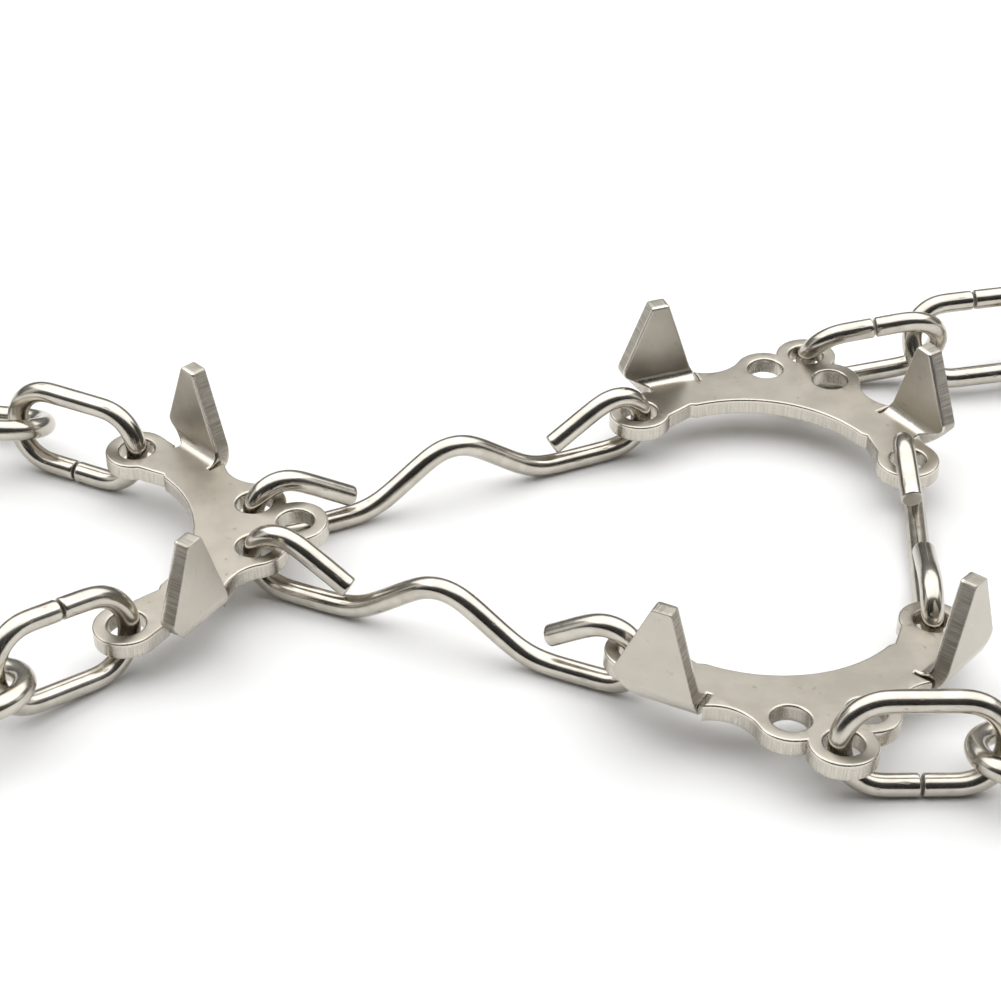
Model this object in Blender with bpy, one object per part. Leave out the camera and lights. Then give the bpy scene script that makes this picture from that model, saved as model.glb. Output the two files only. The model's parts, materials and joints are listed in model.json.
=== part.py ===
# Chain-and-plate ice cleats: three toothed triangular plates joined in a ring by three hooked
# wires, with four short chains of links that lead out to a shoe harness.
# The ring and the chains lie as they do when dropped on a flat surface, wires and links on z = 0.
import math

import bmesh
import bpy
from mathutils import Euler, Matrix, Vector

mm = 0.001

# Toothed plate, a folded sheet: u runs toward the apex, v along the two arms, w up from the top face
plateThickness = 2.4 * mm
holePlay = 1.2 * mm
holeBendShare = 1 / 3
lobeWall = 1.9 * mm
apexHoleReach = 21.9 * mm
sideHoleReach = 16.4 * mm
sideHoleSpread = 4.85 * mm
endHoleSpread = 19.45 * mm
bayDepth = 8.2 * mm
bayRadius = 19.4 * mm
bayCornerSpread = 12.9 * mm
bayCornerWidth = 0.9 * mm
bayCornerDrop = 0.2 * mm
shoulderRadius = 5.6 * mm
lobeSweepEnd = 274
outlineStep = 18

# Teeth, cut in the same sheet and folded up: t runs along the fold, h across it
toothHeight = 12.7 * mm
toothTipWidth = 2.6 * mm
toothTipRadius = 0.4 * mm
toothRootInner = 5.4 * mm
toothRootOuter = 2.0 * mm
toothFlareReach = 5.8 * mm
toothFlareHeight = 2.2 * mm
toothFlareRadius = 1.3 * mm
toothShoulderStart = 2.4 * mm
toothEndOffset = 5.5 * mm
foldAngle = 38.3
foldRadius = 1.55 * mm
reliefWidth = 0.45 * mm
reliefDepth = 0.25 * mm
foldSteps = 6

# Hooked wires of the ring
wireDiameter = 3.0 * mm
farWireReach = 58.6 * mm
nearWireReach = 55.0 * mm
humpRise = 8.8 * mm
humpFoot = 12.4 * mm
humpRadius = 6.0 * mm
footRadius = 9.0 * mm
footRunIn = 8.0 * mm
# The hook at each end: bend radius, fall of the leg in degrees, leg length, sideways lean in degrees
farWireHooks = [(4.4 * mm, 32.0, 9.2 * mm, 0.0), (4.4 * mm, 32.0, 9.2 * mm, 0.0)]
nearWireHooks = [(4.4 * mm, 32.0, 9.2 * mm, 0.0), (4.5 * mm, 32.0, 6.8 * mm, 0.0)]
shortWireHooks = [(5.0 * mm, 15.0, 8.4 * mm, -13.0), (4.1 * mm, 12.0, 8.4 * mm, -3.0)]

# Chain links, each bent round from one piece of wire with its ends butted in one strand
linkWireDiameter = 3.0 * mm
linkLength = 23.2 * mm
linkWidth = 14.2 * mm
buttGap = 0.35 * mm

# How the plates lie: heading of u, the two tilts in degrees, and the height of the top face
rearPlatePlace = Vector((-49.4, -17.4)) * mm
rearPlateLie = (4.6, 1.5, -1.1, 7.4 * mm)
farPlateLie = (71.5, 0.4, -1.4, 6.8 * mm)
nearPlateLie = (-78.0, -2.8, -1.0, 7.0 * mm)
farWireHeading = 23.9
nearWireHeading = -25.2

# Each chain: plate, hole, then heading, pitch and roll of each link in degrees, how far its near crown
# is behind the far crown of the link before (or in front of the hole's middle) and how far below it
chains = {
    "rear_far": ("rear_tooth_plate", "far_end", [
        (154.0, 1.3, -83.0, 0.0, 0.0),
        (166.0, -3.2, 23.0, 3.7 * mm, 1.1 * mm),
        (180.0, 0.0, 112.0, 3.9 * mm, -1.3 * mm)]),
    "rear_near": ("rear_tooth_plate", "near_end", [
        (222.0, 6.9, 98.7, 0.4 * mm, 0.0),
        (205.0, -4.0, 11.0, 3.7 * mm, 1.6 * mm),
        (190.0, -1.0, 90.0, 4.1 * mm, -1.6 * mm)]),
    "front_far": ("far_tooth_plate", "apex", [
        (7.4, 6.9, 112.0, 0.0, 0.5 * mm),
        (9.3, 1.8, 55.0, 3.9 * mm, 0.7 * mm),
        (2.0, -2.7, 146.0, 4.1 * mm, 2.2 * mm)]),
    "front_near": ("near_tooth_plate", "apex", [
        (0.7, -0.5, -102.0, 0.5 * mm, 0.0),
        (-8.0, -3.0, -10.5, 3.7 * mm, 1.4 * mm),
        (0.0, 4.0, 74.5, 5.4 * mm, -2.2 * mm)]),
}

# A hole passes the wire with some play, and room for its bend that grows with the sheet's thickness
holeDiameter = max(wireDiameter, linkWireDiameter) + holePlay + plateThickness * holeBendShare
lobeRadius = holeDiameter / 2 + lobeWall
wireRadius = wireDiameter / 2
bendStep = 20
humpStep = 14
linkBend = (linkWidth - linkWireDiameter) / 2
linkSpan = linkLength - linkWireDiameter
foldLength = (foldRadius + plateThickness / 2) * math.pi / 2
hookShift = (holeDiameter - wireDiameter) / 4

holes = {
    "apex": Vector((apexHoleReach, 0)),
    "far_side": Vector((sideHoleReach, sideHoleSpread)),
    "near_side": Vector((sideHoleReach, -sideHoleSpread)),
    "far_end": Vector((0, endHoleSpread)),
    "near_end": Vector((0, -endHoleSpread)),
}

# Fold line: its normal, its direction, its distance from the plate's origin and the tooth's middle
foldNormal = Vector((math.cos(math.radians(foldAngle)), math.sin(math.radians(foldAngle))))
foldAlong = Vector((-foldNormal.y, foldNormal.x))
foldDistance = holes["far_end"].dot(foldNormal) + lobeRadius
toothMiddle = holes["far_end"].dot(foldAlong) - toothEndOffset


for old in list(bpy.data.objects):
    bpy.data.objects.remove(old)

parts = bpy.data.collections.new("shoe_ice_cleats")
bpy.context.scene.collection.children.link(parts)


def steel(name, color, roughness):
    material = bpy.data.materials.new(name)
    material.use_nodes = True
    shader = material.node_tree.nodes["Principled BSDF"]
    shader.inputs["Base Color"].default_value = (*color, 1)
    shader.inputs["Roughness"].default_value = roughness
    shader.inputs["Metallic"].default_value = 1.0
    return material


plateSteel = steel("satin_plated_steel", (0.58, 0.55, 0.50), 0.34)
wireSteel = steel("bright_plated_wire", (0.70, 0.67, 0.61), 0.16)
linkSteel = steel("bright_plated_chain", (0.69, 0.66, 0.61), 0.18)


def arc(center, radius, start, end, step):
    """Points of a circular arc from one angle to another, in degrees, both ends included."""
    count = max(1, round(abs(end - start) / step))
    turns = [math.radians(start + (end - start) * i / count) for i in range(count + 1)]
    return [Vector((center[0] + radius * math.cos(a), center[1] + radius * math.sin(a))) for a in turns]


def heading(vector):
    return math.degrees(math.atan2(vector[1], vector[0]))


def circlesMeet(first, firstRadius, second, secondRadius):
    """The meeting point of two circles that is on the left of the line from first to second."""
    apart = second - first
    along = (apart.length_squared + firstRadius**2 - secondRadius**2) / (2 * apart.length)
    across = math.sqrt(firstRadius**2 - along**2)
    direction = apart.normalized()
    return first + direction * along + Vector((-direction.y, direction.x)) * across


def rounded(corners, step=30):
    """An open run of points through (point, radius) corners, each rounded to its radius."""
    points = []
    for index, (corner, radius) in enumerate(corners):
        if not radius:
            points.append(corner)
            continue
        before = (corners[index - 1][0] - corner).normalized()
        after = (corners[index + 1][0] - corner).normalized()
        half = before.angle(after) / 2
        center = corner + (before + after).normalized() * radius / math.sin(half)
        start = corner + before * radius / math.tan(half) - center
        end = corner + after * radius / math.tan(half) - center
        sweep = math.degrees(start.angle_signed(end)) * -1
        points += arc(center, radius, heading(start), heading(start) + sweep, step)
    return points


def onFold(along, across):
    """Plate coordinates of a point given by its place along the fold and its distance past it."""
    return foldNormal * (foldDistance + across) + foldAlong * (toothMiddle + along)


def halfOutline():
    """Outline of the plate for v >= 0, from the tip of the apex lobe round to the middle of the bay."""
    apex = holes["apex"]
    side = holes["far_side"]
    end = holes["far_end"]
    meet = circlesMeet(side, lobeRadius, apex, lobeRadius)
    slotStart = onFold(-toothRootInner - reliefWidth, toothShoulderStart)
    shoulder = circlesMeet(slotStart, shoulderRadius, side, lobeRadius + shoulderRadius)
    points = arc(apex, lobeRadius, 0, heading(meet - apex), outlineStep)
    points += arc(side, lobeRadius, heading(meet - side), heading(shoulder - side), outlineStep)[1:]
    points += arc(shoulder, shoulderRadius, heading(side - shoulder) % 360,
                  heading(slotStart - shoulder) % 360, outlineStep)[1:]
    points += [
        onFold(-toothRootInner - reliefWidth, -reliefDepth),
        onFold(-toothRootInner, -reliefDepth),
        onFold(-toothRootInner, 0),
        onFold(toothRootOuter, 0),
        onFold(toothRootOuter, -reliefDepth),
        onFold(toothRootOuter + reliefWidth, -reliefDepth),
        onFold(toothRootOuter + reliefWidth, 0),
    ]
    points += arc(end, lobeRadius, foldAngle, lobeSweepEnd, outlineStep)
    bayCenter = Vector((bayDepth - bayRadius, 0))
    bayEnd = math.degrees(math.asin((bayCornerSpread - bayCornerWidth) / bayRadius))
    bay = arc(bayCenter, bayRadius, bayEnd, 0, outlineStep / 2)
    points.append(Vector((bay[0].x - bayCornerDrop, bayCornerSpread)))
    return points + bay


def flatSheet(name, outlines, thickness):
    """A mesh object: flat outlines in XY, the first one solid and the others holes, of this thickness."""
    curve = bpy.data.curves.new(name, "CURVE")
    curve.dimensions = "2D"
    curve.fill_mode = "BOTH"
    curve.extrude = thickness / 2
    for outline in outlines:
        spline = curve.splines.new("POLY")
        spline.points.add(len(outline) - 1)
        for point, place in zip(spline.points, outline):
            point.co = (*place, 0, 1)
        spline.use_cyclic_u = True
    drawn = bpy.data.objects.new(name, curve)
    bpy.context.scene.collection.objects.link(drawn)
    bpy.context.view_layer.update()
    mesh = bpy.data.meshes.new_from_object(drawn.evaluated_get(bpy.context.evaluated_depsgraph_get()))
    bpy.data.objects.remove(drawn)
    sheet = bmesh.new()
    sheet.from_mesh(mesh)
    bpy.data.meshes.remove(mesh)
    bmesh.ops.remove_doubles(sheet, verts=sheet.verts, dist=1e-7)
    bmesh.ops.translate(sheet, verts=sheet.verts, vec=(0, 0, -thickness / 2))
    return sheet


def dropWall(sheet, onWall):
    """Removes the wall faces whose corners all satisfy onWall."""
    walls = [face for face in sheet.faces if all(onWall(corner.co) for corner in face.verts)]
    bmesh.ops.delete(sheet, geom=walls, context="FACES_ONLY")


def foldedTooth(side):
    """One tooth in plate coordinates, its root open where it joins the plate. side is 1 or -1."""
    straight = foldLength - foldRadius
    tip = toothTipWidth / 2
    outline = rounded([
        (Vector((0, -toothRootInner)), 0),
        (Vector((straight, -toothRootInner)), 0),
        (Vector((straight + toothHeight, -tip)), toothTipRadius),
        (Vector((straight + toothHeight, tip)), toothTipRadius),
        (Vector((straight + toothFlareHeight, toothFlareReach)), toothFlareRadius),
        (Vector((foldLength / 4, toothRootOuter)), 0),
        (Vector((0, toothRootOuter)), 0),
    ])
    tooth = flatSheet("tooth_blank", [outline], plateThickness)
    for step in range(1, foldSteps + 1):
        geometry = tooth.verts[:] + tooth.edges[:] + tooth.faces[:]
        cut = (foldLength * step / foldSteps, 0, 0)
        bmesh.ops.bisect_plane(tooth, geom=geometry, dist=1e-8, plane_co=cut, plane_no=(1, 0, 0))
    dropWall(tooth, lambda corner: abs(corner.x) < 1e-7)
    for corner in tooth.verts:
        across, along, depth = corner.co
        turn = min(across / foldLength, 1) * math.pi / 2
        out = (foldRadius - depth) * math.sin(turn)
        up = foldRadius - (foldRadius - depth) * math.cos(turn) + max(across - foldLength, 0)
        flat = onFold(along, out)
        corner.co = (flat.x, flat.y * side, up)
    return tooth


def platedSheet(name):
    """Mesh of the toothed plate, in its own u, v, w axes."""
    half = halfOutline()
    outline = half + [Vector((point.x, -point.y)) for point in reversed(half[1:-1])]
    circles = [arc(place, holeDiameter / 2, 0, 360, bendStep)[:-1] for place in holes.values()]
    sheet = flatSheet(name, [outline] + circles, plateThickness)

    def onRoot(corner):
        place = Vector((corner.x, abs(corner.y)))
        along = place.dot(foldAlong) - toothMiddle
        return abs(place.dot(foldNormal) - foldDistance) < 1e-7 and along < toothRootOuter + 1e-7

    dropWall(sheet, onRoot)
    for side in (1, -1):
        tooth = foldedTooth(side)
        mesh = bpy.data.meshes.new("tooth")
        tooth.to_mesh(mesh)
        tooth.free()
        sheet.from_mesh(mesh)
        bpy.data.meshes.remove(mesh)
    bmesh.ops.remove_doubles(sheet, verts=sheet.verts, dist=1e-6)
    bmesh.ops.dissolve_limit(sheet, angle_limit=math.radians(0.5), verts=sheet.verts, edges=sheet.edges)
    bmesh.ops.recalc_face_normals(sheet, faces=sheet.faces)
    mesh = bpy.data.meshes.new(name)
    sheet.to_mesh(mesh)
    sheet.free()
    mesh.shade_smooth()
    mesh.set_sharp_from_angle(angle=math.radians(35))
    return mesh


def wireObject(name, path, diameter, material):
    """A wire bent along a path of 3-D points, with closed ends."""
    curve = bpy.data.curves.new(name, "CURVE")
    curve.dimensions = "3D"
    curve.bevel_depth = diameter / 2
    curve.bevel_resolution = 2
    curve.use_fill_caps = True
    spline = curve.splines.new("POLY")
    spline.points.add(len(path) - 1)
    for point, place in zip(spline.points, path):
        point.co = (*place, 1)
        spline.use_smooth = True
    curve.materials.append(material)
    wire = bpy.data.objects.new(name, curve)
    parts.objects.link(wire)
    return wire


def hookPath(radius, fall, leg, lean, pivotHeight):
    """Points of one hook from its cut end to where the straight run starts, origin in its hole."""
    center = Vector((radius - hookShift, wireRadius + radius))
    bend = arc(center, radius, 90 - fall, 270, bendStep)
    reach = Vector((math.cos(math.radians(fall)), -math.sin(math.radians(fall)))) * leg
    side = -math.tan(math.radians(lean))
    return [Vector((s, (pivotHeight - z) * side, z - pivotHeight)) for s, z in [bend[0] + reach] + bend]


def humpPath(reach):
    """(s, z) points of the hump in the middle of a long wire, from foot to foot."""
    middle = reach / 2
    foot = Vector((middle - humpFoot, wireRadius))
    crest = Vector((middle, wireRadius + humpRise))
    rise = rounded([(foot - Vector((footRunIn, 0)), 0), (foot, footRadius), (crest, 0)], humpStep)[1:-1]
    mirrored = [Vector((reach - point.x, point.y)) for point in reversed(rise)]
    top = rounded([(rise[-1], 0), (crest, humpRadius), (mirrored[0], 0)], humpStep)[1:-1]
    return rise + top + mirrored


def hookedWire(name, reach, hooks, hump, pivotHeight):
    """A hooked wire in its own axes: x to the other hook, z up, origin in the first hook's hole."""
    path = hookPath(*hooks[0], pivotHeight)
    if hump:
        path += [Vector((s, 0, z - pivotHeight)) for s, z in humpPath(reach)]
    path += [Vector((reach - s, side, z)) for s, side, z in reversed(hookPath(*hooks[1], pivotHeight))]
    return wireObject(name, path, wireDiameter, wireSteel)


def linkPath(start):
    """Centre line of one link in XY, from one butted end round to the other, near crown at start."""
    r = linkBend
    near = Vector((start + r, 0))
    far = Vector((start + linkSpan - r, 0))
    middle = start + linkSpan / 2
    loop = [Vector((middle - buttGap / 2, r))]
    loop += arc(near, r, 90, 270, bendStep)
    loop += arc(far, r, 270, 450, bendStep)
    loop.append(Vector((middle + buttGap / 2, r)))
    return [Vector((*point, 0)) for point in loop]


def place(thing, parent, location, rotation=(0, 0, 0)):
    thing.parent = parent
    thing.location = location
    thing.rotation_euler = rotation


def empty(name, parent, location, rotation=(0, 0, 0)):
    pivot = bpy.data.objects.new(name, None)
    pivot.empty_display_size = 5 * mm
    parts.objects.link(pivot)
    place(pivot, parent, location, rotation)
    return pivot


root = empty("cleats_origin", None, (0, 0, 0))
plateTurns = {}
plateOrigins = {}


def atHole(plate, hole):
    """Where the middle of a plate's hole is, from the plate's own place and lie."""
    inPlate = Vector((*holes[hole], -plateThickness / 2))
    return plateOrigins[plate] + plateTurns[plate].to_matrix() @ inPlate


def addPlate(name, lie, pivotHole, pivot):
    """A toothed plate whose pivotHole stands over the given point of the ground."""
    yaw, tiltX, tiltY, topHeight = lie
    turn = Euler((math.radians(tiltX), math.radians(tiltY), math.radians(yaw)), "XYZ")
    inPlate = Vector((*holes[pivotHole], -plateThickness / 2)) if pivotHole else Vector()
    offset = turn.to_matrix() @ inPlate
    plateTurns[name] = turn
    plateOrigins[name] = Vector((pivot[0] - offset.x, pivot[1] - offset.y, topHeight))
    plate = bpy.data.objects.new(name, platedSheet(name))
    plate.data.materials.append(plateSteel)
    parts.objects.link(plate)
    axis = empty(name + "_pivot", root, plateOrigins[name] + offset, turn)
    place(plate, axis, -inPlate)


def addWire(name, plate, hole, yaw, reach, hooks, hump):
    """A hooked wire that starts in a plate's hole; returns where its other hook stands."""
    pivot = atHole(plate, hole)
    wire = hookedWire(name, reach, hooks, hump, pivot.z)
    place(wire, root, pivot, (0, 0, math.radians(yaw)))
    return pivot + Vector((math.cos(math.radians(yaw)), math.sin(math.radians(yaw)), 0)) * reach


def addChain(name, plate, hole, lies):
    """A chain of links from a plate's hole outwards, each turning on the far crown of the one before."""
    crown = atHole(plate, hole)
    for number, (yaw, pitch, roll, back, drop) in enumerate(lies, 1):
        turn = Euler((math.radians(roll), math.radians(-pitch), math.radians(yaw)), "XYZ")
        toWorld = turn.to_matrix()
        path = linkPath(-back)
        lowest = min((toWorld @ point).z for point in path) + crown.z - drop
        rise = max(linkWireDiameter / 2 - lowest, 0) - drop
        shift = toWorld.inverted() @ Vector((0, 0, rise))
        link = wireObject("%s_link_%d" % (name, number), [point + shift for point in path],
                          linkWireDiameter, linkSteel)
        place(link, root, crown, turn)
        crown = crown + Vector((0, 0, rise)) + toWorld @ Vector((linkSpan - back, 0, 0))


addPlate("rear_tooth_plate", rearPlateLie, None, rearPlatePlace)
farHook = addWire("far_long_wire", "rear_tooth_plate", "far_side", farWireHeading, farWireReach,
                  farWireHooks, True)
addPlate("far_tooth_plate", farPlateLie, "far_end", farHook)
nearHook = addWire("near_long_wire", "rear_tooth_plate", "near_side", nearWireHeading, nearWireReach,
                   nearWireHooks, True)
addPlate("near_tooth_plate", nearPlateLie, "near_end", nearHook)
gap = atHole("near_tooth_plate", "far_end") - atHole("far_tooth_plate", "near_end")
addWire("front_short_wire", "far_tooth_plate", "near_end", heading(gap), gap.to_2d().length,
        shortWireHooks, False)
for chainName, (plateName, holeName, linkLies) in chains.items():
    addChain(chainName, plateName, holeName, linkLies)

# Stand the whole object centred on its origin
bpy.context.view_layer.update()
graph = bpy.context.evaluated_depsgraph_get()
corners = []
for piece in parts.objects:
    if piece.type != "EMPTY":
        shape = piece.evaluated_get(graph)
        mesh = shape.to_mesh()
        corners += [piece.matrix_world @ corner.co for corner in mesh.vertices]
        shape.to_mesh_clear()
low = Vector([min(corner[axis] for corner in corners) for axis in range(3)])
high = Vector([max(corner[axis] for corner in corners) for axis in range(3)])
root.location = (-(low.x + high.x) / 2, -(low.y + high.y) / 2, -low.z)
bpy.context.view_layer.update()
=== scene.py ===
# Shoe ice cleats: three folded tooth plates, three hooked wires that join them in a ring,
# and four short chains of butted links that lead out to the harness.
# Run inside Blender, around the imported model.
import json
import math

import bmesh
import bpy
import numpy as np
from mathutils import Matrix, Vector

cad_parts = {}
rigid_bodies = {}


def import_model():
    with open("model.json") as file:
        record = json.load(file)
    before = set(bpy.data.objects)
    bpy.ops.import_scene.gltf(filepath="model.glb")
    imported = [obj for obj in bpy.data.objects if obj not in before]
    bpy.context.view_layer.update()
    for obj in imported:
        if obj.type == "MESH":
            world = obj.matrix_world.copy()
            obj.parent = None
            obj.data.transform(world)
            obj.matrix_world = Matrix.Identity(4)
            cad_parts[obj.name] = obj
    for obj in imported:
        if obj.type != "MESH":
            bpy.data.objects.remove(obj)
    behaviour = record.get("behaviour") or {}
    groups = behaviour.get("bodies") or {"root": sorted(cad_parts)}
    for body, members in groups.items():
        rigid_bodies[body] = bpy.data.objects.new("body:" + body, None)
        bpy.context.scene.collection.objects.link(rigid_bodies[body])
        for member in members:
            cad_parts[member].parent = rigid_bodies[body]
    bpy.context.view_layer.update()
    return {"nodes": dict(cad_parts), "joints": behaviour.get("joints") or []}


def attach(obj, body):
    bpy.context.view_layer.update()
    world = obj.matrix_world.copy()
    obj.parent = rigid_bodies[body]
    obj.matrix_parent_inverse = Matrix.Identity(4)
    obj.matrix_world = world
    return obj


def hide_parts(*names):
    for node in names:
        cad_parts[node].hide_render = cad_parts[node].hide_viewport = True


for leftover in list(bpy.data.objects):
    bpy.data.objects.remove(leftover)

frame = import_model()
joints = {joint["name"]: joint for joint in frame["joints"]}
mm = 0.001
print("frame loaded:", len(frame["nodes"]), "nodes")


# small geometry helpers
def arcRun(center, radius, start, end, step=5.0):
    # points along a circular arc, angles in degrees, both ends included
    count = max(2, math.ceil(abs(end - start) / step))
    turns = [math.radians(start + (end - start) * i / count) for i in range(count + 1)]
    return [Vector((center[0] + radius * math.cos(a), center[1] + radius * math.sin(a))) for a in turns]


def headingOf(vector):
    return math.degrees(math.atan2(vector[1], vector[0]))


def leftMeeting(first, firstRadius, second, secondRadius):
    # where two circles meet, on the left of the line from first to second
    apart = second - first
    along = (apart.length_squared + firstRadius**2 - secondRadius**2) / (2 * apart.length)
    across = math.sqrt(firstRadius**2 - along**2)
    way = apart.normalized()
    return first + way * along + Vector((-way.y, way.x)) * across


def roundedRun(corners, step=6.0):
    # an open run through (point, radius) corners, each one rounded
    points = []
    for index, (corner, radius) in enumerate(corners):
        if not radius:
            points.append(corner)
            continue
        before = (corners[index - 1][0] - corner).normalized()
        after = (corners[index + 1][0] - corner).normalized()
        half = before.angle(after) / 2
        center = corner + (before + after).normalized() * radius / math.sin(half)
        start = corner + before * radius / math.tan(half) - center
        end = corner + after * radius / math.tan(half) - center
        sweep = -math.degrees(start.angle_signed(end))
        points += arcRun(center, radius, headingOf(start), headingOf(start) + sweep, step)
    return points


def evenRun(path, spacing):
    # the same run with its points an even distance apart
    points = np.array([tuple(point) for point in path])
    steps = np.linalg.norm(np.diff(points, axis=0), axis=1)
    keep = np.concatenate([[True], steps > 1e-9])
    points = points[keep]
    reach = np.concatenate([[0], np.cumsum(np.linalg.norm(np.diff(points, axis=0), axis=1))])
    count = max(8, round(reach[-1] / spacing))
    places = np.linspace(0, reach[-1], count + 1)
    return np.stack([np.interp(places, reach, points[:, axis]) for axis in range(3)], axis=1)


def relaxed(points, rounds):
    # eases the joins between bends and straights, ends held
    points = points.copy()
    for _ in range(rounds):
        points[1:-1] += 0.5 * ((points[:-2] + points[2:]) / 2 - points[1:-1])
    return points


def newPiece(name, mesh, body, finish):
    # a piece built in the row frame that rides on a body and stands for its solid
    piece = bpy.data.objects.new(name, mesh)
    bpy.context.scene.collection.objects.link(piece)
    mesh.materials.append(finish)
    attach(piece, body)
    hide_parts(body)
    return piece


# shader building
class Signal:
    # a socket whose value can be used in a Python expression
    def __init__(self, tree, socket):
        self.tree = tree
        self.socket = socket

    def worked(self, operation, first, second):
        node = self.tree.nodes.new("ShaderNodeMath")
        node.operation = operation
        feed(self.tree, node.inputs[0], first)
        feed(self.tree, node.inputs[1], second)
        return Signal(self.tree, node.outputs[0])

    def __add__(self, other):
        return self.worked("ADD", self, other)

    def __sub__(self, other):
        return self.worked("SUBTRACT", self, other)

    def __rsub__(self, other):
        return self.worked("SUBTRACT", other, self)

    def __mul__(self, other):
        return self.worked("MULTIPLY", self, other)

    __radd__ = __add__
    __rmul__ = __mul__


def feed(tree, socket, value):
    if isinstance(value, Signal):
        tree.links.new(value.socket, socket)
    elif isinstance(value, tuple) and len(value) == 3 and socket.type == "RGBA":
        socket.default_value = (*value, 1)
    else:
        socket.default_value = value


class NodeBook:
    # a node tree, and the one way that this script adds nodes to it
    def __init__(self, tree):
        self.tree = tree

    def node(self, kind, settings, sockets, output=0):
        made = self.tree.nodes.new(kind)
        for key, value in settings.items():
            if key == "stops":
                ramp = made.color_ramp.elements
                while len(ramp) < len(value):
                    ramp.new(0.5)
                for stop, (place, color) in zip(ramp, value):
                    stop.position = place
                    stop.color = (*color, 1)
            else:
                setattr(made, key, value)
        for key, value in sockets.items():
            feed(self.tree, made.inputs[key], value)
        return Signal(self.tree, made.outputs[output])

    def attribute(self, name, output="Fac"):
        return self.node("ShaderNodeAttribute", {"attribute_name": name}, {}, output)

    def stretched(self, vector, scale):
        return self.node("ShaderNodeVectorMath", {"operation": "MULTIPLY"}, {0: vector, 1: scale})

    def noise(self, vector, scale, detail=2.0, roughness=0.5):
        return self.node("ShaderNodeTexNoise", {}, {
            "Vector": vector, "Scale": scale, "Detail": detail, "Roughness": roughness})

    def band(self, value, low, high, toLow=0.0, toHigh=1.0):
        return self.node("ShaderNodeMapRange", {"interpolation_type": "SMOOTHSTEP"}, {
            "Value": value, "From Min": low, "From Max": high, "To Min": toLow, "To Max": toHigh})

    def tinted(self, factor, first, second):
        return self.node("ShaderNodeMix", {"data_type": "RGBA"}, {0: factor, 6: first, 7: second}, 2)

    def bump(self, height, distance, strength=1.0):
        return self.node("ShaderNodeBump", {}, {"Height": height, "Distance": distance, "Strength": strength})


class Finish(NodeBook):
    # one material and the nodes that make it
    def __init__(self, name):
        self.material = bpy.data.materials.new(name)
        self.material.use_nodes = True
        super().__init__(self.material.node_tree)
        self.shader = self.tree.nodes["Principled BSDF"]

    def set(self, **values):
        for key, value in values.items():
            feed(self.tree, self.shader.inputs[key.replace("_", " ")], value)


def plateFinish(look):
    # satin nickel over rolled steel: mottled faces, rolled rims and tooth folds lightened as a painted
    # highlight, scored shear edges
    made = Finish("satinPlate")
    here = made.node("ShaderNodeTexCoord", {}, {}, "Object")
    rimHighlight = made.attribute("rimTone")
    cut = made.attribute("cutTone")
    tooth = made.attribute("toothTone")
    bend = made.attribute("bendTone")
    run = made.attribute("cutRun", "Vector")
    cloud = made.noise(here, look["cloudScale"], 3.0, 0.55)
    grain = made.noise(here, look["grainScale"], 2.0, 0.6)
    rolled = made.noise(made.stretched(here, (0.06, 1.0, 1.0)), look["rolledScale"], 2.0, 0.5)
    specks = made.band(made.noise(here, look["speckScale"], 1.0, 0.4), 0.70, 0.78)
    score = made.noise(made.stretched(run, (1.0, 0.05, 1.0)), look["scoreScale"], 3.0, 0.65)
    tear = made.noise(run, look["tearScale"], 3.0, 0.6)
    face = made.tinted(made.band(cloud, 0.3, 0.72), look["faceDull"], look["faceBright"])
    face = made.tinted(specks * look["speckTint"], face, look["speck"])
    streak = made.band(score, 0.34, 0.66)
    wall = made.tinted(streak, look["wallDark"], look["wallBright"])
    edge = made.tinted(streak, look["cutDark"], look["cutBright"])
    edge = made.tinted(tooth, wall, edge)
    # painted highlight: the folds at the tooth roots are lightened to stand in for the overhead lamp's
    # reflection
    color = made.tinted(bend, face, look["bend"])
    # painted highlight: the rounded rims, and a share of the walls and lower edges, are lightened to stand in
    # for the bright lines along the edges
    color = made.tinted(rimHighlight, color, look["rimHighlight"])
    color = made.tinted(cut, color, edge)
    rough = look["faceRough"] + (cloud - 0.5) * look["cloudRough"] + (grain - 0.5) * look["grainRough"]
    rough = rough + specks * look["speckRough"]
    rough = rough + rimHighlight * (look["rimRough"] - look["faceRough"])
    rough = rough + bend * (look["bendRough"] - look["faceRough"])
    rough = rough + cut * (look["wallRough"] - look["faceRough"]) + cut * (score - 0.5) * look["scoreRough"]
    rough = rough + cut * tooth * (look["cutRough"] - look["wallRough"])
    height = grain * look["grainHeight"] + rolled * look["rolledHeight"]
    height = height + cloud * look["cloudHeight"] + specks * look["speckHeight"]
    scoring = look["wallScore"] + tooth * (1 - look["wallScore"])
    scored = score * look["scoreHeight"] + tear * look["tearHeight"]
    height = height * (1 - cut) + cut * scoring * scored
    made.set(Base_Color=color, Roughness=rough, Metallic=1.0, Normal=made.bump(height, look["bump"]))
    return made.material


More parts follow.
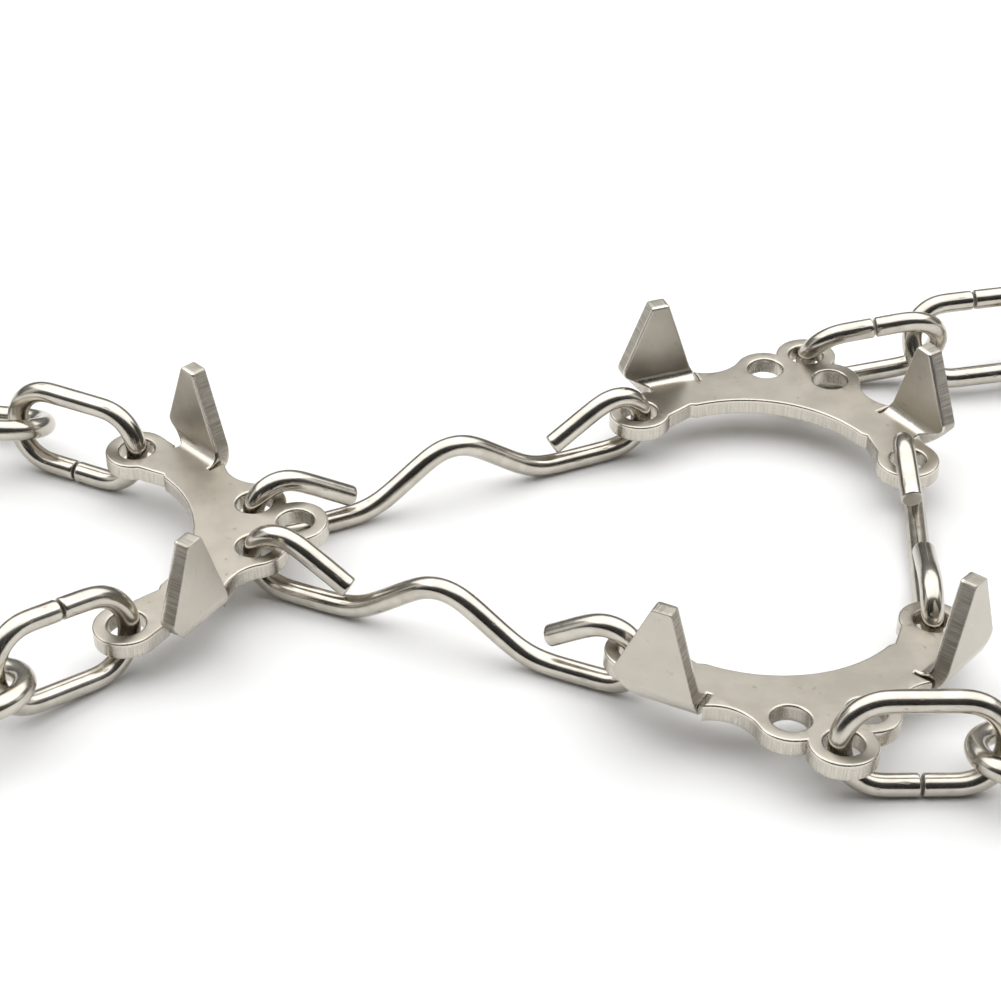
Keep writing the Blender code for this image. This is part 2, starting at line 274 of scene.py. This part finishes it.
def wireFinish(name, look):
    # bright nickel over drawn wire: long draw lines, soft mottling, dull cut ends
    made = Finish(name)
    drawn = made.attribute("drawn", "Vector")
    cut = made.attribute("cutTone")
    lines = made.noise(made.stretched(drawn, (1.0, 1.0, 0.03)), look["lineScale"], 3.0, 0.6)
    cloud = made.noise(drawn, look["cloudScale"], 3.0, 0.55)
    grit = made.noise(drawn, look["gritScale"], 2.0, 0.6)
    nicks = made.noise(made.stretched(drawn, (1.0, 1.0, 0.35)), look["nickScale"], 1.0, 0.4)
    nicks = made.band(nicks, 0.69, 0.77)
    color = made.tinted(made.band(cloud, 0.3, 0.7), look["dull"], look["bright"])
    color = made.tinted(nicks * look["nickTint"], color, look["nick"])
    color = made.tinted(cut, color, look["cut"])
    rough = look["rough"] + (lines - 0.5) * look["lineRough"] + (cloud - 0.5) * look["cloudRough"]
    rough = rough + nicks * look["nickRough"] + cut * look["cutRough"]
    height = lines + cloud * look["cloudHeight"] - nicks + cut * grit * look["gritHeight"]
    made.set(Base_Color=color, Roughness=rough, Metallic=1.0, Normal=made.bump(height, look["bump"]))
    return made.material


# toothed plates
plateSize = {
    "thickness": 2.4 * mm,
    "hole": 5.0 * mm,
    "lobe": 4.4 * mm,
    "apexReach": 21.9 * mm,
    "sideReach": 16.4 * mm,
    "sideSpread": 4.85 * mm,
    "endSpread": 19.45 * mm,
    "bayDepth": 8.2 * mm,
    "bayRadius": 19.4 * mm,
    "bayCorner": 12.9 * mm,
    "bayCornerWidth": 0.9 * mm,
    "bayCornerDrop": 0.2 * mm,
    "shoulder": 5.6 * mm,  # hollow between a side hole and the tooth
    "shoulderStart": 2.4 * mm,
    "lobeSweepEnd": 274,
    "rimTop": 0.34 * mm,
    "rimBottom": 0.14 * mm,
    "rimSteps": 5,
    "wallRows": (0.30, 0.5, 0.75),
    "holeStep": 7.5,  # degrees between points round a hole and along the bay
    "bayStep": 3,
    "sharpAngle": 40,
}
toothSize = {
    "height": 12.7 * mm,
    "tipWidth": 2.6 * mm,
    "tipRadius": 0.5 * mm,
    "rootInner": 5.4 * mm,
    "rootOuter": 2.0 * mm,
    "rootRadius": 0.9 * mm,
    "edgeStep": 10,
    "flareReach": 5.8 * mm,
    "flareHeight": 2.2 * mm,
    "flareRadius": 1.3 * mm,
    "endOffset": 5.5 * mm,
    "foldAngle": 38.3,
    "foldRadius": 1.55 * mm,
    "foldSteps": 12,
    "reliefWidth": 0.45 * mm,
    "reliefDepth": 0.25 * mm,
}
plateLook = {
    "faceDull": (0.385, 0.355, 0.303),
    "faceBright": (0.460, 0.428, 0.370),
    "rimHighlight": (0.70, 0.66, 0.59),  # painted highlight on the rounded edge that the press rolls over
    "wallDark": (0.50, 0.465, 0.405),  # smooth cut walls round the sheet
    "wallBright": (0.62, 0.585, 0.52),
    "cutDark": (0.33, 0.305, 0.26),  # scored cut edges of the teeth
    "cutBright": (0.52, 0.485, 0.425),
    # painted highlight where the tooth folds up and would catch the overhead lamp
    "bend": (0.66, 0.62, 0.55),
    "speck": (0.22, 0.20, 0.17),
    "faceRough": 0.37,
    "rimRough": 0.22,
    "wallRough": 0.30,
    "cutRough": 0.42,
    "bendRough": 0.26,
    "cloudRough": 0.16,  # how far each pattern moves the roughness
    "grainRough": 0.10,
    "speckRough": 0.12,
    "scoreRough": 0.15,
    "speckTint": 0.35,
    "wallHighlightShare": 0.25,  # how much of the rim's painted highlight the wall and the lower edge carry
    "lowerHighlightShare": 0.4,
    "wallScore": 0.25,  # share of the teeth's scoring that the walls show
    "cloudHeight": 0.9,  # how far each pattern lifts the surface
    "grainHeight": 0.5,
    "rolledHeight": 0.35,
    "speckHeight": -0.5,
    "scoreHeight": 4.0,
    "tearHeight": 2.0,
    "cloudScale": 190.0,
    "grainScale": 5200.0,
    "rolledScale": 2600.0,
    "speckScale": 900.0,
    "scoreScale": 4200.0,
    "tearScale": 1500.0,
    "bump": 0.000012,
}

plateHoles = {
    "apex": Vector((plateSize["apexReach"], 0)),
    "farSide": Vector((plateSize["sideReach"], plateSize["sideSpread"])),
    "nearSide": Vector((plateSize["sideReach"], -plateSize["sideSpread"])),
    "farEnd": Vector((0, plateSize["endSpread"])),
    "nearEnd": Vector((0, -plateSize["endSpread"])),
}
foldTurn = math.radians(toothSize["foldAngle"])
foldNormal = Vector((math.cos(foldTurn), math.sin(foldTurn)))
foldAlong = Vector((-foldNormal.y, foldNormal.x))
foldDistance = plateHoles["farEnd"].dot(foldNormal) + plateSize["lobe"]
toothMiddle = plateHoles["farEnd"].dot(foldAlong) - toothSize["endOffset"]
foldLength = (toothSize["foldRadius"] + plateSize["thickness"] / 2) * math.pi / 2


def fromFold(along, across):
    # plate coordinates of a point along the fold line and past it, before folding
    return foldNormal * (foldDistance + across) + foldAlong * (toothMiddle + along)


def toothEdge():
    # the tooth laid flat, from the inner end of its root over the tip to the outer end
    size = toothSize
    straight = foldLength - size["foldRadius"]
    tip = size["tipWidth"] / 2
    run = roundedRun([
        (Vector((0, -size["rootInner"])), 0),
        (Vector((straight, -size["rootInner"])), size["rootRadius"]),
        (Vector((straight + size["height"], -tip)), size["tipRadius"]),
        (Vector((straight + size["height"], tip)), size["tipRadius"]),
        (Vector((straight + size["flareHeight"], size["flareReach"])), size["flareRadius"]),
        (Vector((foldLength / 4, size["rootOuter"])), 0),  # the flank ends inside the bend
        (Vector((0, size["rootOuter"])), 0),
    ], size["edgeStep"])
    return [fromFold(along, across) for across, along in run]


def blankOutline():
    # the whole cut blank, anticlockwise, with both teeth laid flat
    size = plateSize
    apex, side, end = plateHoles["apex"], plateHoles["farSide"], plateHoles["farEnd"]
    lobe, shoulder = size["lobe"], size["shoulder"]
    inner = -toothSize["rootInner"]
    outer = toothSize["rootOuter"]
    notch, depth = toothSize["reliefWidth"], toothSize["reliefDepth"]
    meet = leftMeeting(side, lobe, apex, lobe)
    slotStart = fromFold(inner - notch, size["shoulderStart"])
    middle = leftMeeting(slotStart, shoulder, side, lobe + shoulder)
    half = arcRun(apex, lobe, 0, headingOf(meet - apex))
    half += arcRun(side, lobe, headingOf(meet - side), headingOf(middle - side))[1:]
    half += arcRun(middle, shoulder, headingOf(side - middle) % 360, headingOf(slotStart - middle) % 360)[1:]
    half += [fromFold(inner - notch, -depth), fromFold(inner, -depth)]
    half += toothEdge()
    half += [fromFold(outer, -depth), fromFold(outer + notch, -depth), fromFold(outer + notch, 0)]
    half += arcRun(end, lobe, toothSize["foldAngle"], size["lobeSweepEnd"])
    bayCenter = Vector((size["bayDepth"] - size["bayRadius"], 0))
    bayEnd = math.degrees(math.asin((size["bayCorner"] - size["bayCornerWidth"]) / size["bayRadius"]))
    bay = arcRun(bayCenter, size["bayRadius"], bayEnd, 0, size["bayStep"])
    half += [Vector((bay[0].x - size["bayCornerDrop"], size["bayCorner"]))] + bay
    return half + [Vector((point.x, -point.y)) for point in reversed(half[1:-1])]


def rimProfile():
    # (inset, depth, rim highlight tone, cut tone) of each ring from the top face down to the bottom face; the
    # rim highlight tone weights a painted highlight
    size = plateSize
    quarter = [math.pi / 2 * i / size["rimSteps"] for i in range(size["rimSteps"] + 1)]
    top, bottom, thick = size["rimTop"], size["rimBottom"], size["thickness"]
    rings = [(top * (1 - math.sin(a)), -top * (1 - math.cos(a)), math.sin(a), 0.0) for a in quarter]
    rings += [(0.0, -thick * share, plateLook["wallHighlightShare"], 1.0) for share in size["wallRows"]]
    for a in quarter[::2] + quarter[-1:]:
        depth = -thick + bottom * (1 - math.sin(a))
        rings.append((bottom * (1 - math.cos(a)), depth, plateLook["lowerHighlightShare"], 1 - math.sin(a)))
    return rings


def insetLoop(points, inset):
    # the loop moved into the material on its left, corners mitred
    moved = []
    for index, point in enumerate(points):
        before = (point - points[index - 1]).normalized()
        after = (points[(index + 1) % len(points)] - point).normalized()
        first, second = Vector((-before.y, before.x)), Vector((-after.y, after.x))
        moved.append(point + (first + second) * (inset / max(1 + first.dot(second), 0.5)))
    return moved


def foldTeeth(sheet):
    # cuts the blank along the bends, then rolls both teeth up round them
    edgeLimit = -(toothSize["rootInner"] + toothSize["reliefWidth"] / 2)
    radius = toothSize["foldRadius"]
    slip = 1e-7  # metres
    toothLayer = sheet.verts.layers.float["toothTone"]
    bendHighlightLayer = sheet.verts.layers.float["bendTone"]

    def inFold(corner, side):
        place = Vector((corner.x, corner.y * side))
        return place.dot(foldNormal) - foldDistance, place.dot(foldAlong) - toothMiddle

    for side in (1, -1):
        normal = Vector((foldNormal.x, foldNormal.y * side, 0))
        for step in range(toothSize["foldSteps"] + 1):
            reach = foldLength * step / toothSize["foldSteps"]
            if step:
                chosen = [face for face in sheet.faces if all(
                    inFold(corner.co, side)[0] > -slip and inFold(corner.co, side)[1] > edgeLimit
                    for corner in face.verts)]
            else:
                chosen = [face for face in sheet.faces if any(
                    abs(inFold(corner.co, side)[1]) < -edgeLimit * 2 for corner in face.verts)]  # at the root
            edges = {edge for face in chosen for edge in face.edges}
            corners = {corner for face in chosen for corner in face.verts}
            bmesh.ops.bisect_plane(sheet, geom=list(corners) + list(edges) + chosen, dist=1e-8,
                                   plane_co=normal * (foldDistance + reach), plane_no=normal)
    for corner in sheet.verts:
        side = 1 if corner.co.y > 0 else -1
        across, along = inFold(corner.co, side)
        if across <= 0 or along < edgeLimit:
            continue
        corner[toothLayer] = min(across / foldLength, 1)
        # weight of the painted highlight across each fold, brightest mid-bend
        corner[bendHighlightLayer] = math.sin(math.pi * min(across / foldLength, 1))
        depth = corner.co.z
        turn = min(across / foldLength, 1) * math.pi / 2
        out = (radius - depth) * math.sin(turn)
        flat = fromFold(along, out)
        up = radius - (radius - depth) * math.cos(turn) + max(across - foldLength, 0)
        corner.co = (flat.x, flat.y * side, up)


def plateMesh(name):
    sheet = bmesh.new()
    for tone in ("rimTone", "cutTone", "toothTone", "bendTone"):
        sheet.verts.layers.float.new(tone)
    runLayer = sheet.verts.layers.float_vector.new("cutRun")
    rimHighlightLayer = sheet.verts.layers.float["rimTone"]
    cutLayer = sheet.verts.layers.float["cutTone"]
    outline = blankOutline()
    loops = [outline]
    for middle in plateHoles.values():
        ring = arcRun(middle, plateSize["hole"] / 2, 0, 360, plateSize["holeStep"])[:-1]
        loops.append(list(reversed(ring)))
    profile = rimProfile()
    topEdges, bottomEdges = [], []
    for loop in loops:
        reach = [0.0]
        for index in range(1, len(loop)):
            reach.append(reach[-1] + (loop[index] - loop[index - 1]).length)
        rings = []
        for inset, depth, rimHighlight, cut in profile:
            ring = []
            for place, along in zip(insetLoop(loop, inset), reach):
                corner = sheet.verts.new((place.x, place.y, depth))
                corner[rimHighlightLayer] = rimHighlight
                corner[cutLayer] = cut
                corner[runLayer] = (along, depth, 0.0)
                ring.append(corner)
            rings.append(ring)
        for upper, lower in zip(rings, rings[1:]):
            for index in range(len(upper)):
                sheet.faces.new((upper[index - 1], lower[index - 1], lower[index], upper[index]))
        for ring, edges in ((rings[0], topEdges), (rings[-1], bottomEdges)):
            edges += [sheet.edges.get((ring[index - 1], ring[index])) for index in range(len(ring))]
    bmesh.ops.triangle_fill(sheet, use_beauty=True, edges=topEdges, normal=(0, 0, 1))
    bmesh.ops.triangle_fill(sheet, use_beauty=True, edges=bottomEdges, normal=(0, 0, -1))
    foldTeeth(sheet)
    bmesh.ops.recalc_face_normals(sheet, faces=sheet.faces)
    mesh = bpy.data.meshes.new(name)
    sheet.to_mesh(mesh)
    sheet.free()
    mesh.shade_smooth()
    mesh.set_sharp_from_angle(angle=math.radians(plateSize["sharpAngle"]))
    return mesh


def sheetNormal(node, anyPoint):
    # the plate's own up: the direction that most of its flat area faces, on the teeth's side
    mesh = frame["nodes"][node].data
    sameWay = 0.9995  # cosine between two normals that count as one
    normals = np.array([tuple(face.normal) for face in mesh.polygons])
    areas = np.array([face.area for face in mesh.polygons])
    totals = [(areas[normals @ normal > sameWay].sum(), index) for index, normal in enumerate(normals)]
    best = normals[max(totals)[1]]
    near = normals @ best > sameWay
    up = Vector((normals[near] * areas[near, None]).sum(0)).normalized()
    heights = [(corner.co - anyPoint).dot(up) for corner in mesh.vertices]
    return up if max(heights) > -min(heights) else -up


def plateFrame(node, firstJoint, firstHole, secondJoint, secondHole):
    # the plate's axes from the middles of two of its holes
    first = Vector(joints[firstJoint]["pos_m"])
    second = Vector(joints[secondJoint]["pos_m"])
    up = sheetNormal(node, first)
    onSheet = second - first
    onSheet = (onSheet - up * onSheet.dot(up)).normalized()
    beside = up.cross(onSheet)
    turn = math.radians(headingOf(plateHoles[secondHole] - plateHoles[firstHole]))
    u = onSheet * math.cos(turn) - beside * math.sin(turn)
    v = up.cross(u)
    hole = plateHoles[firstHole]
    origin = first - u * hole.x - v * hole.y + up * plateSize["thickness"] / 2
    return Matrix.Translation(origin) @ Matrix((u, v, up)).transposed().to_4x4()


satinPlate = plateFinish(plateLook)
plateFrames = {
    "rear_tooth_plate": plateFrame("rear_tooth_plate", "rear_far_link_1_swing", "farEnd",
                                   "rear_near_link_1_swing", "nearEnd"),
    "far_tooth_plate": plateFrame("far_tooth_plate", "far_plate_swing", "farEnd",
                                  "front_far_link_1_swing", "apex"),
    "near_tooth_plate": plateFrame("near_tooth_plate", "near_plate_swing", "nearEnd",
                                   "front_near_link_1_swing", "apex"),
}
for node, matrix in plateFrames.items():
    mesh = plateMesh(node + "_folded")
    mesh.transform(matrix)
    plate = newPiece(node + "_folded", mesh, node, satinPlate)
    weights = plate.modifiers.new("face weighted shading", "WEIGHTED_NORMAL")
    weights.keep_sharp = True
    weights.weight = 90
print("plates made:", len(plateFrames))


# drawn wire
wireSize = {
    "diameter": 3.0 * mm,
    "around": 40,
    "spacing": 0.35 * mm,
    "endRound": 0.3 * mm,
    "endSteps": 4,
    "endDome": 0.02 * mm,
    "endSlant": 0.05,  # lean of the cut, for each unit off the middle
    "slantReach": 1.0 * mm,
    "easing": 40,  # rounds of smoothing along the bends
    "humpRise": 8.8 * mm,
    "humpFoot": 12.4 * mm,
    "humpRadius": 6.0 * mm,
    "footRadius": 9.0 * mm,
    "footRunIn": 8.0 * mm,
}
# hooks at the two ends: bend radius, fall of the leg in degrees, leg length, sideways lean in degrees
hookSize = {
    "far_long_wire": [(4.4 * mm, 32.0, 9.2 * mm, 0.0), (4.4 * mm, 32.0, 9.2 * mm, 0.0)],
    "near_long_wire": [(4.4 * mm, 32.0, 9.2 * mm, 0.0), (4.5 * mm, 32.0, 6.8 * mm, 0.0)],
    "front_short_wire": [(5.0 * mm, 15.0, 8.4 * mm, -13.0), (4.1 * mm, 12.0, 8.4 * mm, -3.0)],
}
wireLook = {
    "dull": (0.50, 0.465, 0.405),
    "bright": (0.61, 0.575, 0.51),
    "nick": (0.22, 0.20, 0.17),
    "cut": (0.38, 0.355, 0.31),
    "rough": 0.17,
    "cutRough": 0.25,  # added on the cut ends
    "lineRough": 0.10,  # how far each pattern moves the roughness
    "cloudRough": 0.12,
    "nickRough": 0.15,
    "nickTint": 0.4,
    "cloudHeight": 1.2,  # how far each pattern lifts the surface, against the draw lines
    "gritHeight": 6.0,
    "lineScale": 5200.0,
    "cloudScale": 420.0,
    "gritScale": 3200.0,
    "nickScale": 1400.0,
    "bump": 0.000006,
}


def drawnWire(name, path, radius, slant):
    # a round wire swept along a path, its cut ends slightly slanted and rounded off
    around, lip, leaning = wireSize["around"], wireSize["endRound"], wireSize["slantReach"]
    tangents = np.gradient(path, axis=0)
    tangents /= np.linalg.norm(tangents, axis=1)[:, None]
    side = np.cross(tangents[0], (0.0, 0.0, 1.0))
    if np.linalg.norm(side) < 0.1:
        side = np.cross(tangents[0], (0.0, 1.0, 0.0))
    steps = np.linalg.norm(np.diff(path, axis=0), axis=1)
    reach = np.concatenate([[0], np.cumsum(steps)])
    rings = []
    for index in range(len(path)):
        side = side - tangents[index] * side.dot(tangents[index])
        side /= np.linalg.norm(side)
        rings.append((path[index], tangents[index], side.copy(), reach[index], radius, 0.0))
    endSteps = wireSize["endSteps"]
    quarter = [math.pi / 2 * i / endSteps for i in range(endSteps + 1)]

    def endRings(ring, outward):
        middle, tangent, beside, place, _, _ = ring
        made = []
        for a in quarter:
            back = (lip - lip * math.sin(a)) * -outward
            made.append((middle + tangent * back, tangent, beside, place + back,
                         radius - lip + lip * math.cos(a), (a / quarter[-1]) ** 2))
        crown = middle + tangent * outward * wireSize["endDome"]
        made.append((crown, tangent, beside, place, (radius - lip) * 0.5, 1.0))
        return made

    trimmed = [ring for ring in rings if lip * 1.2 < ring[3] < reach[-1] - lip * 1.2]
    rings = list(reversed(endRings(rings[0], -1))) + trimmed + endRings(rings[-1], 1)
    shape = bmesh.new()
    drawnLayer = shape.verts.layers.float_vector.new("drawn")
    cutLayer = shape.verts.layers.float.new("cutTone")
    loops = []
    for middle, tangent, beside, place, size, cut in rings:
        up = np.cross(tangent, beside)
        loop = []
        for step in range(around):
            turn = math.tau * step / around
            out = (beside * math.cos(turn) + up * math.sin(turn)) * size
            lean = 0.0
            if place < leaning:
                lean = slant * size * math.cos(turn) * (1 - place / leaning)
            elif place > reach[-1] - leaning:
                lean = slant * size * math.sin(turn) * (1 - (reach[-1] - place) / leaning)
            corner = shape.verts.new(Vector(middle + out + tangent * lean))
            corner[drawnLayer] = (size * math.cos(turn), size * math.sin(turn), place)
            corner[cutLayer] = cut
            loop.append(corner)
        loops.append(loop)
    for first, second in zip(loops, loops[1:]):
        for index in range(around):
            shape.faces.new((first[index - 1], first[index], second[index], second[index - 1]))
    for loop in (loops[0], loops[-1]):
        middle = shape.verts.new(sum((corner.co for corner in loop), Vector()) / around)
        middle[cutLayer] = 1.0
        middle[drawnLayer] = (0.0, 0.0, loop[0][drawnLayer][2])
        for index in range(around):
            shape.faces.new((loop[index - 1], loop[index], middle))
    bmesh.ops.recalc_face_normals(shape, faces=shape.faces)
    mesh = bpy.data.meshes.new(name)
    shape.to_mesh(mesh)
    shape.free()
    mesh.shade_smooth()
    return mesh


def hookRun(hook, pivotHeight):
    # (s, sideways, z) points of a hook from its cut end round to the ground run
    radius, fall, leg, lean = hook
    wireRadius = wireSize["diameter"] / 2
    shift = (plateSize["hole"] - wireSize["diameter"]) / 4
    center = Vector((radius - shift, wireRadius + radius))
    bend = arcRun(center, radius, 90 - fall, 270)
    reach = Vector((math.cos(math.radians(fall)), -math.sin(math.radians(fall)))) * leg
    side = -math.tan(math.radians(lean))
    return [Vector((s, (pivotHeight - z) * side, z)) for s, z in [bend[0] + reach] + bend]


def humpRun(reach):
    # (s, 0, z) points of the raised hump in the middle of a long wire
    size = wireSize
    low = size["diameter"] / 2
    foot = Vector((reach / 2 - size["humpFoot"], low))
    crest = Vector((reach / 2, low + size["humpRise"]))
    start = foot - Vector((size["footRunIn"], 0))
    rise = roundedRun([(start, 0), (foot, size["footRadius"]), (crest, 0)])[1:-1]
    fall = [Vector((reach - point.x, point.y)) for point in reversed(rise)]
    top = roundedRun([(rise[-1], 0), (crest, size["humpRadius"]), (fall[0], 0)])[1:-1]
    return [Vector((s, 0, z)) for s, z in rise + top + fall]


def hookedPath(node, start, finish, hump):
    # from hook to hook, in the row frame
    flat = Vector((finish.x - start.x, finish.y - start.y, 0))
    reach = flat.length
    along = flat.normalized()
    aside = Vector((-along.y, along.x, 0))
    first, second = hookSize[node]
    run = hookRun(first, start.z)
    run += humpRun(reach) if hump else []
    run += [Vector((reach - s, side, z)) for s, side, z in reversed(hookRun(second, start.z))]
    ground = Vector((start.x, start.y, 0))
    path = [ground + along * s + aside * side + Vector((0, 0, z)) for s, side, z in run]
    return relaxed(evenRun(path, wireSize["spacing"]), wireSize["easing"])


brightWire = wireFinish("brightWire", wireLook)
openHole = plateHoles["farEnd"]
lastHook = plateFrames["near_tooth_plate"] @ Vector((*openHole, -plateSize["thickness"] / 2))
swings = {name: Vector(joint["pos_m"]) for name, joint in joints.items()}
# where each wire's two hooks stand, and whether it has a hump
wireRuns = {
    "far_long_wire": (swings["far_wire_swing"], swings["far_plate_swing"], True),
    "near_long_wire": (swings["near_wire_swing"], swings["near_plate_swing"], True),
    "front_short_wire": (swings["short_wire_swing"], lastHook, False),
}
for node, (start, finish, hump) in wireRuns.items():
    path = hookedPath(node, start, finish, hump)
    mesh = drawnWire(node + "_bent", path, wireSize["diameter"] / 2, wireSize["endSlant"])
    newPiece(node + "_bent", mesh, node, brightWire)
print("wires made:", len(wireRuns))


# chain links
linkSize = {
    "diameter": 2.95 * mm,  # a little under the nominal 3, so that links clear each other at their limits
    "endSlant": 0.03,
    "length": 23.2 * mm,
    "width": 14.2 * mm,
    "gap": 0.35 * mm,
    "easing": 10,
}
linkLook = dict(wireLook, rough=0.19, cloudScale=380.0)


def linkFrame(node, nearCrown):
    # the link's middle and axes: x away from the near crown, y toward its butted strand
    points = np.array([tuple(corner.co) for corner in frame["nodes"][node].data.vertices])
    middle = points.mean(0)
    axes = np.linalg.svd(points - middle, full_matrices=False)[2]
    places = (points - middle) @ axes.T
    center = (places.min(0) + places.max(0)) / 2
    places -= center
    x, y = axes[0], axes[1]
    butted = places[np.abs(places[:, 0]) < linkSize["diameter"] / 2, 1].mean()
    y = y if butted > 0 else -y
    origin = middle + center @ axes
    x = x if (origin - np.array(nearCrown)) @ x > 0 else -x
    turn = Matrix((Vector(x), Vector(y), Vector(np.cross(x, y)))).transposed()
    return Matrix.Translation(Vector(origin)) @ turn.to_4x4()


def linkRun():
    # centre line of a link in its own plane, from one butted end round to the other
    size = linkSize
    bend = (size["width"] - size["diameter"]) / 2
    crown = (size["length"] - size["diameter"]) / 2 - bend
    run = [Vector((-size["gap"] / 2, bend))]
    run += arcRun((-crown, 0), bend, 90, 270)
    run += arcRun((crown, 0), bend, 270, 450)
    run.append(Vector((size["gap"] / 2, bend)))
    return relaxed(evenRun([Vector((*point, 0)) for point in run], wireSize["spacing"]), size["easing"])


brightLink = wireFinish("brightLink", linkLook)
linkPath = linkRun()
linkCount = 0
for node in sorted(frame["nodes"]):
    if "_link_" not in node:
        continue
    matrix = np.array(linkFrame(node, joints[node + "_swing"]["pos_m"]))
    path = linkPath @ matrix[:3, :3].T + matrix[:3, 3]
    mesh = drawnWire(node + "_bent", path, linkSize["diameter"] / 2, linkSize["endSlant"])
    newPiece(node + "_bent", mesh, node, brightLink)
    linkCount += 1
print("links made:", linkCount)


# floor, light and camera
studio = {
    "floorSide": 6.0,
    "floorColor": (0.90, 0.90, 0.90),
    "floorRough": 0.9,
    "floorShine": 0.2,
    "sky": [(0.0, 0.07), (0.30, 0.26), (0.62, 0.50), (1.0, 0.8)],  # height, brightness
    "cameraSide": 0.12,  # brightness of the sky behind the camera, against the far side
    "shadeSpan": (-0.75, 0.25),
}
# place, size and power of each lamp
lamps = {
    "overhead": ((0.0, 0.22, 1.0), (3.0, 1.8), 25.0),
    "leftSide": ((-0.85, -0.10, 0.45), (0.35, 0.9), 0.6),
    "rightSide": ((0.90, 0.05, 0.45), (0.35, 0.9), 0.6),
}
view = {
    "place": Vector((1.870, -271.02, 198.39)) * mm,
    "down": 34.696,  # degrees below level
    "roll": -0.375,
    "lens": 88.67,
    "sensor": 36,
    "clip": (0.01, 20),
}


def makeFloor():
    sheet = bmesh.new()
    bmesh.ops.create_grid(sheet, x_segments=2, y_segments=2, size=studio["floorSide"] / 2)
    mesh = bpy.data.meshes.new("floor")
    sheet.to_mesh(mesh)
    sheet.free()
    floor = bpy.data.objects.new("floor", mesh)
    bpy.context.scene.collection.objects.link(floor)
    made = Finish("paleFloor")
    made.set(Base_Color=studio["floorColor"], Roughness=studio["floorRough"],
             Specular_IOR_Level=studio["floorShine"])
    mesh.materials.append(made.material)


def softLight(name, place, side, power):
    lamp = bpy.data.lights.new(name, "AREA")
    lamp.shape = "RECTANGLE"
    lamp.size, lamp.size_y = side
    lamp.energy = power
    holder = bpy.data.objects.new(name, lamp)
    holder.location = place
    holder.rotation_euler = (-Vector(place)).to_track_quat("-Z", "Y").to_euler()  # aimed at the middle
    bpy.context.scene.collection.objects.link(holder)


def makeSky():
    # dim near the horizon and on the camera's side, bright overhead and behind, so that polished
    # wire shows its dark and bright bands
    world = bpy.data.worlds.new("studioSky")
    world.use_nodes = True
    book = NodeBook(world.node_tree)
    way = book.node("ShaderNodeTexCoord", {}, {}, "Generated")
    height = book.node("ShaderNodeSeparateXYZ", {}, {0: way}, "Z")
    depth = book.node("ShaderNodeSeparateXYZ", {}, {0: way}, "Y")
    glow = book.node("ShaderNodeValToRGB", {"stops": [
        (place, (light, light, light)) for place, light in studio["sky"]]}, {0: height})
    shade = book.band(depth, *studio["shadeSpan"], studio["cameraSide"], 1.0)
    sky = world.node_tree.nodes["Background"]
    feed(world.node_tree, sky.inputs["Color"], glow)
    feed(world.node_tree, sky.inputs["Strength"], shade)
    bpy.context.scene.world = world


makeFloor()
makeSky()
for name, (place, side, power) in lamps.items():
    softLight(name, place, side, power)

lens = bpy.data.cameras.new("camera")
lens.lens = view["lens"]
lens.sensor_width = view["sensor"]
lens.clip_start, lens.clip_end = view["clip"]
camera = bpy.data.objects.new("camera", lens)
camera.location = view["place"]
tilt = Matrix.Rotation(math.radians(90 - view["down"]), 4, "X")
camera.rotation_euler = (tilt @ Matrix.Rotation(math.radians(view["roll"]), 4, "Z")).to_euler()
bpy.context.scene.collection.objects.link(camera)
bpy.context.scene.camera = camera
bpy.context.scene.view_settings.view_transform = "Standard"
print("stage set")
